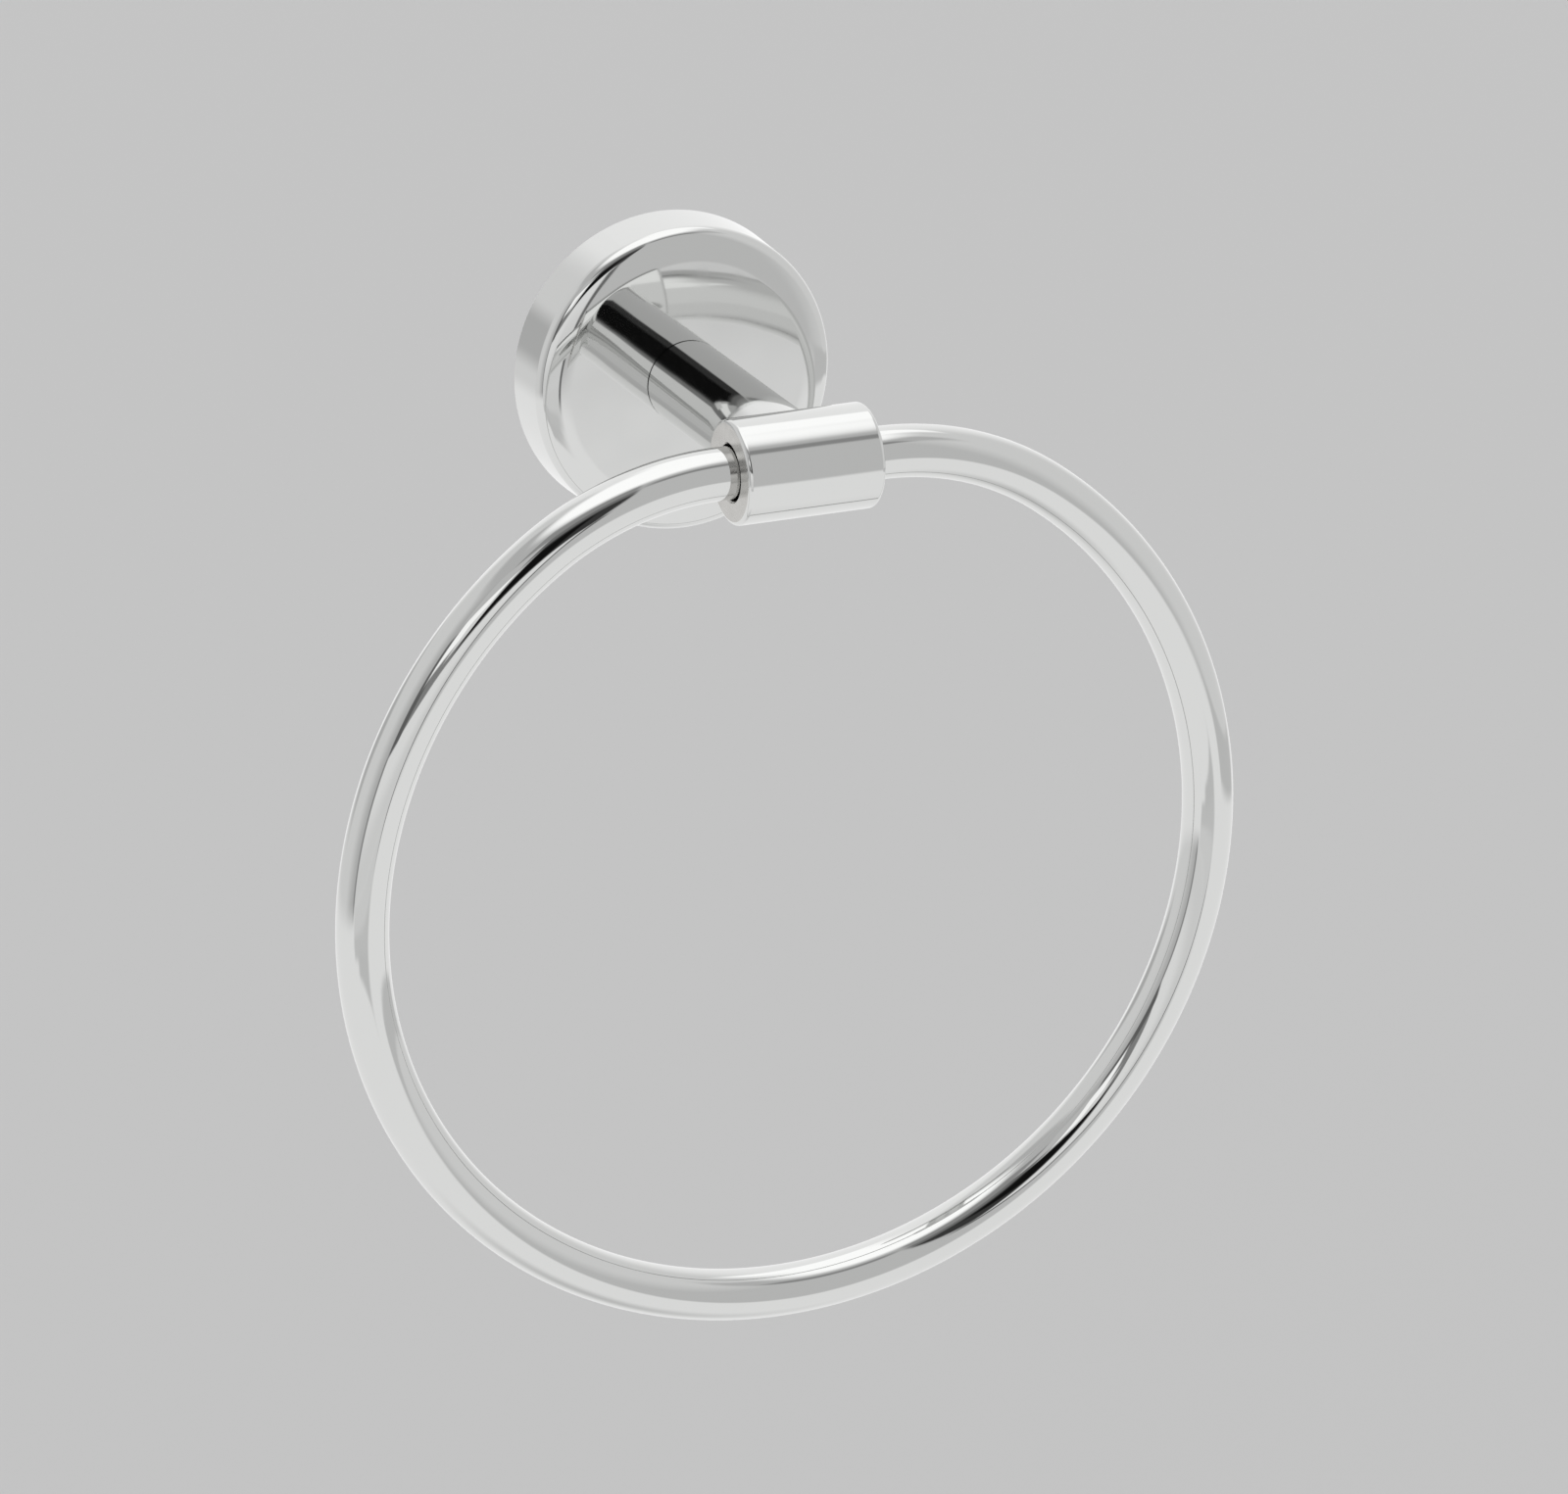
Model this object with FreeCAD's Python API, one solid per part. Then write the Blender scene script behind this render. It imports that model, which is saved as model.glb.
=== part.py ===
import FreeCAD
import Part
import math
import os

# Wall towel ring in polished chrome.
# All sizes are millimetres. The origin is the centre of the flange's back on the wall.
# +Z is up, the wall is the plane y = 0 and the object reaches out towards -Y.

# Ring of round rod, measured on the rod's centreline
rod_diameter = 9.0
ring_radius = 78.7
shoulder_ease = 25.2  # the shoulders' bend radius is smaller than the ring's by this
shoulder_margin = 2.3  # straight rod between a sleeve end and its shoulder
ring_end_gap = 1.6  # between the two rod ends, hidden inside the sleeve
ring_end_chamfer = 0.5

# Arm: a post with a cross sleeve on its end
arm_reach = 60.3  # wall to the sleeve's axis
post_diameter = 15.0
post_root_chamfer = 0.35
sleeve_diameter = 18.0
sleeve_length = 24.8
sleeve_edge_round = 0.8
bore_clearance = 0.4  # all round between rod and bore
bore_edge_chamfer = 0.3

# Spigot that keys the post to the flange
spigot_diameter = 9.2
spigot_flat_depth = 0.7
spigot_clearance = 0.1
spigot_shortfall = 0.4  # the spigot stops this far inside the flange's wall

# Flange: a shallow cup with a flat face, a soft shoulder and a rounded edge
flange_diameter = 55.5  # at the wall
flange_depth = 12.0  # wall to the flat of the face
flange_rim_draft = 2.0  # degrees that the rim narrows away from the wall
flange_shoulder_radius = 17.4
flange_shoulder_turn = 14.0  # degrees that the shoulder turns before the edge's round
flange_edge_round = 2.26
rim_wall = 2.0  # at the wall
face_wall = 3.7  # at the flat of the face
seat_recess = 0.2  # flat seat of the post, below the face
seat_clearance = 0.1

# Blocks inside the rim, above and below
top_pad_height = 1.75
top_pad_width = 11.0
screw_boss_height = 2.55
screw_boss_width = 9.0
pad_setback = 0.6  # the blocks stop this short of the wall

# Screw and lock washer that hold the arm to the flange
arm_screw_diameter = 6.0
arm_screw_length = 16.0
arm_screw_tip_chamfer = 0.8
arm_screw_head_diameter = 10.5
arm_screw_head_height = 3.3
arm_screw_head_round = 2.4
arm_screw_socket = 4.0
arm_screw_socket_depth = 2.0
thread_clearance = 0.05
drill_extra_depth = 2.5
washer_diameter = 12.0
washer_thickness = 1.4
washer_clearance = 0.2
washer_slit = 1.0

# Wall bracket, pressed from sheet
bracket_sheet = 1.6
bracket_side_gap = 4.75  # between the plate's edge and the flange's rim
bracket_bend_round = 0.8
lip_width = 14.0
lip_head_gap = 1.2  # between a lip's free edge and the flange's floor
lip_corner_round = 1.5
lower_lip_gap = 1.8  # between the lower lip and the screw boss
slot_width = 4.6
slot_length = 8.0
slot_edge = 3.0

# Set screw in the underside of the rim
set_screw_diameter = 4.0
set_screw_from_lip_edge = 2.7
set_screw_recess = 0.35
set_screw_socket = 2.0
set_screw_socket_depth = 2.0
set_screw_point_diameter = 2.5
set_screw_point_length = 0.7

# Radii and places that follow from the sizes above
rod_radius = rod_diameter / 2
bore_radius = rod_radius + bore_clearance
sleeve_radius = sleeve_diameter / 2
sleeve_end = sleeve_length / 2
shoulder_radius = ring_radius - shoulder_ease
post_radius = post_diameter / 2
flange_radius = flange_diameter / 2
rim_inner_radius = flange_radius - rim_wall
floor_depth = flange_depth - face_wall
seat_depth = flange_depth - seat_recess
rim_lean = math.radians(flange_rim_draft)
shoulder_lean = math.radians(flange_shoulder_turn)
washer_end_depth = floor_depth - washer_thickness
arm_screw_radius = arm_screw_diameter / 2
lip_depth = floor_depth - lip_head_gap
upper_lip_z = rim_inner_radius - top_pad_height
boss_face_radius = rim_inner_radius - screw_boss_height
lower_lip_z = -(boss_face_radius - lower_lip_gap)
bracket_radius = rim_inner_radius - bracket_side_gap
set_screw_depth = lip_depth - set_screw_from_lip_edge
set_screw_radius = set_screw_diameter / 2
rim_radius_at_screw = flange_radius - math.tan(rim_lean) * set_screw_depth

ALONG_X = FreeCAD.Vector(1, 0, 0)
TO_WALL = FreeCAD.Vector(0, 1, 0)
FROM_WALL = FreeCAD.Vector(0, -1, 0)
DOWN = FreeCAD.Vector(0, 0, -1)


def vec(x, y, z):
    return FreeCAD.Vector(x, y, z)


def cylinder(radius, start, direction, length):
    return Part.makeCylinder(radius, length, start, direction)


def led_cylinder(radius, start, direction, length, chamfer):
    """A cylinder with a chamfered far end."""
    body = cylinder(radius, start, direction, length - chamfer)
    tip = start + direction * (length - chamfer)
    return body.fuse(Part.makeCone(radius, radius - chamfer, chamfer, tip, direction))


def hexagon_prism(across_flats, start, direction, length):
    """A six-sided prism for a key socket, along Y or Z."""
    corner = across_flats / math.sqrt(3)
    side = direction.cross(ALONG_X)
    points = []
    for i in range(7):
        turn = math.radians(60 * i)
        points.append(start + ALONG_X * corner * math.cos(turn) + side * corner * math.sin(turn))
    return Part.Face(Part.makePolygon(points)).extrude(direction * length)


def circle_edges(shape, radius, y):
    """Edges that are circles of this radius, centred on the flange's axis at this y."""
    found = []
    for edge in shape.Edges:
        if not edge.Degenerated and isinstance(edge.Curve, Part.Circle):
            if abs(edge.Curve.Radius - radius) < 0.001 and abs(edge.Curve.Center.y - y) < 0.001:
                found.append(edge)
    return found


# Flange

def make_cup():
    """Rim and face, turned as one section.

    The edge's round runs smoothly into the leaning rim and into the face's shoulder,
    and the shoulder runs smoothly into the flat of the face.
    """
    hub_depth = (
        flange_depth
        - flange_shoulder_radius * (1 - math.cos(shoulder_lean))
        - flange_edge_round * math.cos(shoulder_lean)
    )
    rim_end_depth = hub_depth + flange_edge_round * math.sin(rim_lean)
    rim_end_radius = flange_radius - math.tan(rim_lean) * rim_end_depth
    hub_radius = rim_end_radius - flange_edge_round * math.cos(rim_lean)
    flat_radius = hub_radius - (flange_shoulder_radius - flange_edge_round) * math.sin(shoulder_lean)

    def round_point(angle):
        return vec(
            hub_radius + flange_edge_round * math.sin(angle),
            -hub_depth - flange_edge_round * math.cos(angle),
            0,
        )

    def shoulder_point(angle):
        return vec(
            flat_radius + flange_shoulder_radius * math.sin(angle),
            flange_shoulder_radius * (1 - math.cos(angle)) - flange_depth,
            0,
        )

    rim_turn = math.pi / 2 - rim_lean
    section = Part.Wire([
        Part.makeLine(vec(rim_inner_radius, 0, 0), vec(flange_radius, 0, 0)),
        Part.makeLine(vec(flange_radius, 0, 0), round_point(rim_turn)),
        Part.Arc(
            round_point(rim_turn), round_point((rim_turn + shoulder_lean) / 2), round_point(shoulder_lean)
        ).toShape(),
        Part.Arc(
            shoulder_point(shoulder_lean), shoulder_point(shoulder_lean / 2), shoulder_point(0)
        ).toShape(),
        Part.makeLine(shoulder_point(0), vec(0, -flange_depth, 0)),
        Part.makeLine(vec(0, -flange_depth, 0), vec(0, -floor_depth, 0)),
        Part.makeLine(vec(0, -floor_depth, 0), vec(rim_inner_radius, -floor_depth, 0)),
        Part.makeLine(vec(rim_inner_radius, -floor_depth, 0), vec(rim_inner_radius, 0, 0)),
    ])
    return Part.Face(section).revolve(vec(0, 0, 0), TO_WALL, 360)


def rim_block(width, height, side):
    """A flat-faced block inside the rim, above (side 1) or below (side -1)."""
    face_z = rim_inner_radius - height
    depth = floor_depth + rim_wall / 2
    low_z = min(side * face_z, side * flange_radius)
    block = Part.makeBox(width, depth - pad_setback, height + rim_wall, vec(-width / 2, -depth, low_z))
    return block.common(cylinder(flange_radius - rim_wall / 2, vec(0, 0, 0), FROM_WALL, depth))


def keyed_bar(growth, start_depth, end_depth):
    """Round bar with two flats: the post's spigot or, grown all round, its hole."""
    length = end_depth - start_depth
    bar = cylinder(spigot_diameter / 2 + growth, vec(0, -start_depth, 0), FROM_WALL, length)
    half_height = spigot_diameter / 2 - spigot_flat_depth + growth
    keep = Part.makeBox(
        2 * spigot_diameter, length, 2 * half_height, vec(-spigot_diameter, -end_depth, -half_height)
    )
    return bar.common(keep)


def make_flange():
    top_pad = rim_block(top_pad_width, top_pad_height, 1)
    screw_boss = rim_block(screw_boss_width, screw_boss_height, -1)
    flange = make_cup().fuse([top_pad, screw_boss])
    seat = cylinder(post_radius + seat_clearance, vec(0, -seat_depth, 0), FROM_WALL, flange_depth)
    key_hole = keyed_bar(spigot_clearance, 0, 2 * flange_depth)
    screw_hole = cylinder(
        set_screw_radius + thread_clearance, vec(0, -set_screw_depth, 0), DOWN, 2 * flange_radius
    )
    return flange.cut([seat, key_hole, screw_hole]).removeSplitter()


# Arm

def make_sleeve():
    sleeve = cylinder(sleeve_radius, vec(-sleeve_end, -arm_reach, 0), ALONG_X, sleeve_length)
    rims = [edge for edge in sleeve.Edges if isinstance(edge.Curve, Part.Circle)]
    return sleeve.makeFillet(sleeve_edge_round, rims)


def bore_lead(side):
    """Cone that breaks the bore's edge at one end of the sleeve."""
    return Part.makeCone(
        bore_radius + bore_edge_chamfer,
        bore_radius,
        bore_edge_chamfer,
        vec(side * sleeve_end, -arm_reach, 0),
        ALONG_X * -side,
    )


def make_tapped_hole():
    """Hole for the arm screw, with the drill's pointed end."""
    radius = arm_screw_radius + thread_clearance
    depth = washer_end_depth + arm_screw_length + drill_extra_depth
    point = Part.makeCone(radius, 0, arm_screw_radius, vec(0, -depth, 0), FROM_WALL)
    return cylinder(radius, vec(0, 0, 0), FROM_WALL, depth).fuse(point)


def make_arm():
    post = led_cylinder(
        post_radius, vec(0, -arm_reach, 0), TO_WALL, arm_reach - seat_depth, post_root_chamfer
    )
    spigot = keyed_bar(0, floor_depth + spigot_shortfall, seat_depth + post_radius)
    bore = cylinder(bore_radius, vec(-sleeve_end, -arm_reach, 0), ALONG_X, sleeve_length)
    body = make_sleeve().fuse([post, spigot])
    return body.cut([bore, bore_lead(-1), bore_lead(1), make_tapped_hole()]).removeSplitter()


# Ring

def rod_section(centre, direction):
    return Part.Face(Part.Wire(Part.makeCircle(rod_radius, centre, direction)))


def make_ring():
    """Two straight ends, two shoulders and the main arc, all tangent."""
    straight_end = sleeve_end + shoulder_margin
    shoulder_turn = math.asin(straight_end / shoulder_ease)
    main_centre = vec(0, -arm_reach, -shoulder_radius - shoulder_ease * math.cos(shoulder_turn))
    outward = vec(math.sin(shoulder_turn), 0, math.cos(shoulder_turn))
    along = vec(math.cos(shoulder_turn), 0, -math.sin(shoulder_turn))
    section = rod_section(main_centre + outward * ring_radius, along)
    ring = section.revolve(main_centre, TO_WALL, 360 - 2 * math.degrees(shoulder_turn))
    for side in (-1, 1):
        bend = vec(side * straight_end, -arm_reach, 0)
        hub = bend - vec(0, 0, shoulder_radius)
        shoulder = rod_section(bend, ALONG_X).revolve(hub, TO_WALL, side * math.degrees(shoulder_turn))
        straight = led_cylinder(
            rod_radius, bend, ALONG_X * -side, straight_end - ring_end_gap / 2, ring_end_chamfer
        )
        ring = ring.fuse([shoulder, straight])
    return ring.removeSplitter()


# Fixings behind the face

def make_arm_screw():
    head_back = washer_end_depth - arm_screw_head_height
    head = cylinder(
        arm_screw_head_diameter / 2, vec(0, -head_back, 0), FROM_WALL, arm_screw_head_height
    )
    rim = circle_edges(head, arm_screw_head_diameter / 2, -head_back)
    head = head.makeFillet(arm_screw_head_round, rim)
    shank = led_cylinder(
        arm_screw_radius, vec(0, -head_back - arm_screw_socket_depth, 0), FROM_WALL,
        arm_screw_length + arm_screw_head_height - arm_screw_socket_depth, arm_screw_tip_chamfer
    )
    socket = hexagon_prism(
        arm_screw_socket, vec(0, -head_back, 0), FROM_WALL, arm_screw_socket_depth
    )
    return head.fuse(shank).cut(socket).removeSplitter()


def make_lock_washer():
    back = vec(0, -washer_end_depth, 0)
    disc = cylinder(washer_diameter / 2, back, FROM_WALL, washer_thickness)
    hole = cylinder(arm_screw_radius + washer_clearance, back, FROM_WALL, washer_thickness)
    slit = Part.makeBox(
        washer_slit, washer_thickness, washer_diameter, vec(-washer_slit / 2, -floor_depth, 0)
    )
    return disc.cut([hole, slit])


def make_set_screw():
    tip = vec(0, -set_screw_depth, lower_lip_z)
    length = rim_radius_at_screw - set_screw_recess + lower_lip_z
    point = cylinder(set_screw_point_diameter / 2, tip, DOWN, set_screw_point_length)
    body = cylinder(
        set_screw_radius, tip + DOWN * set_screw_point_length, DOWN, length - set_screw_point_length
    )
    socket_start = tip + DOWN * (length - set_screw_socket_depth)
    socket = hexagon_prism(set_screw_socket, socket_start, DOWN, set_screw_socket_depth)
    return body.fuse(point).cut(socket).removeSplitter()


# Wall bracket

def make_lip(outer_z):
    """Strip of the plate that is bent out from the wall into a lip."""
    side = 1 if outer_z > 0 else -1
    inner_z = abs(outer_z) - bracket_sheet
    low_z = min(0, side * abs(outer_z))
    block = Part.makeBox(lip_width, lip_depth, abs(outer_z), vec(-lip_width / 2, -lip_depth, low_z))
    hollow = Part.makeBox(
        lip_width, lip_depth, inner_z, vec(-lip_width / 2, -lip_depth - bracket_sheet, min(0, side * inner_z))
    )
    bent = block.cut(hollow)
    bent = bent.makeFillet(bracket_bend_round, edges_along_x(bent, -bracket_sheet, side * inner_z))
    outer_round = bracket_bend_round + bracket_sheet
    bent = bent.makeFillet(outer_round, edges_along_x(bent, 0, outer_z))
    corners = []
    for edge in bent.Edges:
        ends = edge.Vertexes
        if len(ends) == 2 and all(abs(v.Y + lip_depth) < 0.001 for v in ends):
            if abs(ends[0].X - ends[1].X) < 0.001:
                corners.append(edge)
    return bent.makeFillet(lip_corner_round, corners)


def edges_along_x(shape, y, z):
    found = []
    for edge in shape.Edges:
        ends = edge.Vertexes
        if len(ends) == 2 and all(abs(v.Y - y) < 0.001 and abs(v.Z - z) < 0.001 for v in ends):
            found.append(edge)
    return found


def make_slot(side):
    """Round-ended slot for a wall screw, long way along X."""
    centre_x = side * (bracket_radius - slot_edge - slot_length / 2)
    half_run = (slot_length - slot_width) / 2
    cutter = Part.makeBox(
        2 * half_run, bracket_sheet, slot_width, vec(centre_x - half_run, -bracket_sheet, -slot_width / 2)
    )
    ends = [
        cylinder(slot_width / 2, vec(centre_x + step, 0, 0), FROM_WALL, bracket_sheet)
        for step in (-half_run, half_run)
    ]
    return cutter.fuse(ends).removeSplitter()


def make_wall_bracket():
    bend_run = bracket_bend_round + bracket_sheet
    top = min(upper_lip_z - bend_run, bracket_radius)
    bottom = lower_lip_z + bend_run
    disc = cylinder(bracket_radius, vec(0, 0, 0), FROM_WALL, bracket_sheet)
    keep = Part.makeBox(
        2 * bracket_radius, bracket_sheet, top - bottom, vec(-bracket_radius, -bracket_sheet, bottom)
    )
    plate = disc.common(keep).fuse([make_lip(upper_lip_z), make_lip(lower_lip_z)])
    return plate.cut([make_slot(-1), make_slot(1)]).removeSplitter()


NODES = {
    "flange": make_flange,
    "arm": make_arm,
    "ring": make_ring,
    "wall_bracket": make_wall_bracket,
    "arm_screw": make_arm_screw,
    "lock_washer": make_lock_washer,
    "set_screw": make_set_screw,
}

os.makedirs("parts", exist_ok=True)
for name, make in NODES.items():
    solid = make()
    solid.exportStep("parts/" + name + ".step")
    print(name, solid.ShapeType, len(solid.Solids), solid.isValid(), round(solid.Volume, 1))
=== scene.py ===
"""Wall towel ring in polished chrome, with its hidden fixings, in a small white photo tent.

The file is laid out as a Blender add-on. Run as a script, it builds every piece around the
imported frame, sets the stage and finishes the frame. Lengths are metres, +Z is up and the
wall is the plane y = 0.
"""

import math

import bmesh
import bpy
import numpy as np
from bpy.props import FloatProperty, FloatVectorProperty, IntProperty, PointerProperty
from mathutils import Matrix, Vector


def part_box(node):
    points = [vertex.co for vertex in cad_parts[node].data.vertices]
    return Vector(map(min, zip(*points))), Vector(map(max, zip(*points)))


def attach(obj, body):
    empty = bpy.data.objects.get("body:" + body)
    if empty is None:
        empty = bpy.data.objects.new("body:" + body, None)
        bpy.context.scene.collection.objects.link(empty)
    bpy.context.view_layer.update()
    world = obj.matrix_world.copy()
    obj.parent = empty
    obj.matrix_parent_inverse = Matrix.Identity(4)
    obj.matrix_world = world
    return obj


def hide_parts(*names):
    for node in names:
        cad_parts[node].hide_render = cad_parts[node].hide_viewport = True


bl_info = {
    "name": "Wall towel ring",
    "version": (1, 0, 0),
    "blender": (4, 5, 0),
    "location": "3D View > Sidebar > Towel ring",
    "description": "Builds a chrome towel ring, its fixings and a photo tent around a packed frame",
    "category": "Object",
}

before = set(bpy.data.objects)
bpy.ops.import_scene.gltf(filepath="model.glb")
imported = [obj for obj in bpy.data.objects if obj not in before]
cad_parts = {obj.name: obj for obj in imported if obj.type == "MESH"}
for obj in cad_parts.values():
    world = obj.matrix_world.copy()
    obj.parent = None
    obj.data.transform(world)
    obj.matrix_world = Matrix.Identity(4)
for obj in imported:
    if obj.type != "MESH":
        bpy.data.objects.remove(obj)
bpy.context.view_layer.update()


FIXED_BODY = "wall_mount"
SWINGING_BODY = "hanging_ring"

FLANGE_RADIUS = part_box("flange")[1].x
ARM_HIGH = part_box("arm")[1]
RING_LOW, RING_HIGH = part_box("ring")
SCREW_LOW, SCREW_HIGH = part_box("set_screw")
ARM_SCREW_TIP_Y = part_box("arm_screw")[0].y

ROD_RADIUS = (RING_HIGH.y - RING_LOW.y) / 2
ARM_AXIS_Y = (RING_HIGH.y + RING_LOW.y) / 2
RING_RADIUS = RING_HIGH.x - ROD_RADIUS
RING_CENTRE_Z = RING_LOW.z + ROD_RADIUS + RING_RADIUS
SLEEVE_RADIUS = ARM_HIGH.z
SLEEVE_END = ARM_HIGH.x

X_AXIS = Vector((1, 0, 0))
Y_AXIS = Vector((0, 1, 0))
Z_AXIS = Vector((0, 0, 1))
ORIGIN = Vector((0, 0, 0))
SLEEVE_CENTRE = Vector((0, ARM_AXIS_Y, 0))

# Faces round the turned solids
FLANGE_STEPS = 240
SLEEVE_STEPS = 224
POST_STEPS = 192
BORE_STEPS = 160
SCREW_HOLE_STEPS = 48
# Faces along the flats and curves of the outlines
FACE_STEPS = 5
SHOULDER_STEPS = 18
EDGE_STEPS = 22
SLEEVE_ROUND_STEPS = 10
STRAIGHT_STEPS = 8
BEND_STEPS = 28

# How far a cutting solid passes what it cuts, and how far the pads go into the flange's wall
OVERSHOOT = 0.001
PAD_EMBED = 0.0006
# Play round the set screw, then the arm's tapped hole past its screw: the spare and the cone
SET_SCREW_PLAY = 0.00005
TAPPED_SPARE = 0.0025
DRILL_POINT = 0.003
# The bore's chamfer, and the pitch of the lathe's rings on the sleeve's ends
BORE_CHAMFER_LEAN = math.radians(45)
LATHE_PITCH = 0.00022


def length(name, description, default):
    return FloatProperty(
        name=name, description=description, default=default, min=0.0, unit="LENGTH", precision=5
    )


def angle(name, description, degrees):
    return FloatProperty(
        name=name, description=description, default=math.radians(degrees), subtype="ANGLE"
    )


def level(name, description, default):
    return FloatProperty(name=name, description=description, default=default, min=0.0, max=1.0)


def colour(name, description, default):
    return FloatVectorProperty(
        name=name, description=description, default=default, size=3, subtype="COLOR",
        min=0.0, max=1.0,
    )


class FlangeSizes(bpy.types.PropertyGroup):
    depth: length("Depth", "Wall to the flat of the face", 0.012)
    rim_draft: angle("Rim draft", "How far the rim leans in away from the wall", 2.0)
    shoulder_radius: length("Shoulder radius", "Soft shoulder round the flat of the face", 0.0174)
    shoulder_turn: angle("Shoulder turn", "How far the shoulder turns before the edge", 14.0)
    edge_round: length("Edge round", "Radius of the rounded front edge", 0.00226)
    rim_wall: length("Rim wall", "Thickness of the rim at the wall", 0.002)
    face_wall: length("Face wall", "Thickness of the flat of the face", 0.0037)
    seat_recess: length("Seat recess", "Depth of the post's seat below the face", 0.0002)
    seat_radius: length("Seat radius", "Radius of the post's seat", 0.0076)
    key_radius: length("Key hole radius", "Radius of the hole for the post's spigot", 0.0047)
    pad_width: length("Pad width", "Width of the upper pad inside the rim", 0.011)
    pad_height: length("Pad height", "Height of the upper pad above the rim's inside", 0.00175)
    boss_width: length("Boss width", "Width of the lower boss inside the rim", 0.009)
    boss_height: length("Boss height", "Height of the lower boss above the rim's inside", 0.00255)
    pad_setback: length("Pad setback", "Distance from the wall to the pads", 0.0006)
    back_round: length("Back edge", "Chamfer on the rim's back edge", 0.0002)


class ArmSizes(bpy.types.PropertyGroup):
    post_radius: length("Post radius", "Radius of the post", 0.0075)
    seat_depth: length("Seat depth", "Wall to the post's seat on the flange", 0.0118)
    root_chamfer: length("Root chamfer", "Chamfer at the foot of the post", 0.00035)
    spigot_radius: length("Spigot radius", "Radius of the spigot in the flange", 0.0046)
    sleeve_round: length("Sleeve round", "Radius of the sleeve's outer end edges", 0.0008)
    bore_radius: length("Bore radius", "Radius of the bore that the rod turns in", 0.0049)
    bore_chamfer: length("Bore chamfer", "Chamfer at the bore's mouths", 0.0003)
    tapped_radius: length("Tapped hole", "Radius of the hole for the arm screw", 0.00305)


class RingSizes(bpy.types.PropertyGroup):
    shoulder_ease: length("Shoulder ease", "Ring radius less shoulder radius", 0.0252)
    shoulder_start: length("Shoulder start", "Middle of the sleeve to the shoulder", 0.0147)
    end_gap: length("End gap", "Gap between the rod's two ends in the sleeve", 0.0016)
    end_chamfer: length("End chamfer", "Chamfer on the rod's ends", 0.0005)
    section_steps: IntProperty(name="Section steps", description="Faces round the rod", default=56)
    arc_steps: IntProperty(name="Arc steps", description="Faces along the main arc", default=220)


class Finish(bpy.types.PropertyGroup):
    chrome: colour("Chrome", "Colour of the polished chrome", (0.690, 0.694, 0.686))
    chrome_roughness: level("Polish", "Roughness of the polished chrome", 0.035)
    smudge: level("Smudge", "How much rougher the faint wiping marks are", 0.03)
    end_roughness: level("End roughness", "Roughness of the sleeve's turned ends", 0.24)
    end_colour: colour("End colour", "Colour of the sleeve's turned ends", (0.56, 0.55, 0.53))
    ripple: level("Ripple", "Strength of the plating's slow waviness", 0.05)
    zinc: colour("Zinc", "Colour of the zinc-plated sheet", (0.56, 0.57, 0.55))
    steel: colour("Steel", "Colour of the screws", (0.50, 0.50, 0.49))


class Studio(bpy.types.PropertyGroup):
    camera_place: FloatVectorProperty(
        name="Camera", description="Where the camera stands", size=3, unit="LENGTH",
        default=(-0.39457, -0.97858, 0.33520),
    )
    camera_target: FloatVectorProperty(
        name="Target", description="Point in the middle of the picture", size=3, unit="LENGTH",
        default=(-0.00232, -0.0603, -0.05044),
    )
    camera_roll: FloatProperty(
        name="Roll", description="Turn of the camera about its view", subtype="ANGLE",
        default=math.radians(-0.13),
    )
    lens: FloatProperty(name="Lens", description="Focal length in millimetres", default=144.68)
    floor_level: FloatProperty(
        name="Floor level", description="Height of the floor", unit="LENGTH", default=-0.45
    )
    floor_size: length("Floor size", "Width of the floor", 14.0)
    floor_colour: colour("Floor colour", "Colour of the pale floor", (0.62, 0.62, 0.62))
    backdrop: level("Backdrop", "Brightness of the pale backdrop past the floor", 0.55)


class TowelRing(bpy.types.PropertyGroup):
    flange: PointerProperty(type=FlangeSizes)
    arm: PointerProperty(type=ArmSizes)
    ring: PointerProperty(type=RingSizes)
    finish: PointerProperty(type=Finish)
    studio: PointerProperty(type=Studio)


# Meshes

def about_y(radius, along, angle):
    """A point at this radius and angle about the flange's axis, this far along Y."""
    return (radius * math.cos(angle), along, radius * math.sin(angle))


def about_sleeve(radius, along, angle):
    """A point at this radius and angle about the sleeve's axis, this far along X."""
    return (along, ARM_AXIS_Y + radius * math.cos(angle), radius * math.sin(angle))


def about_z(centre_y):
    """Places points about an upright axis at x = 0 and this y."""
    def place(radius, along, angle):
        return (radius * math.cos(angle), centre_y + radius * math.sin(angle), along)
    return place


def arc(centre, radius, start, end, steps):
    """Points (radius, along) on an arc. Angles run from the radius axis towards along."""
    points = []
    for i in range(steps + 1):
        angle = start + (end - start) * i / steps
        points.append((centre[0] + radius * math.cos(angle), centre[1] + radius * math.sin(angle)))
    return points


def line(start, end, steps):
    """Points from start up to, but without, end."""
    return [
        (start[0] + (end[0] - start[0]) * i / steps, start[1] + (end[1] - start[1]) * i / steps)
        for i in range(steps)
    ]


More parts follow.
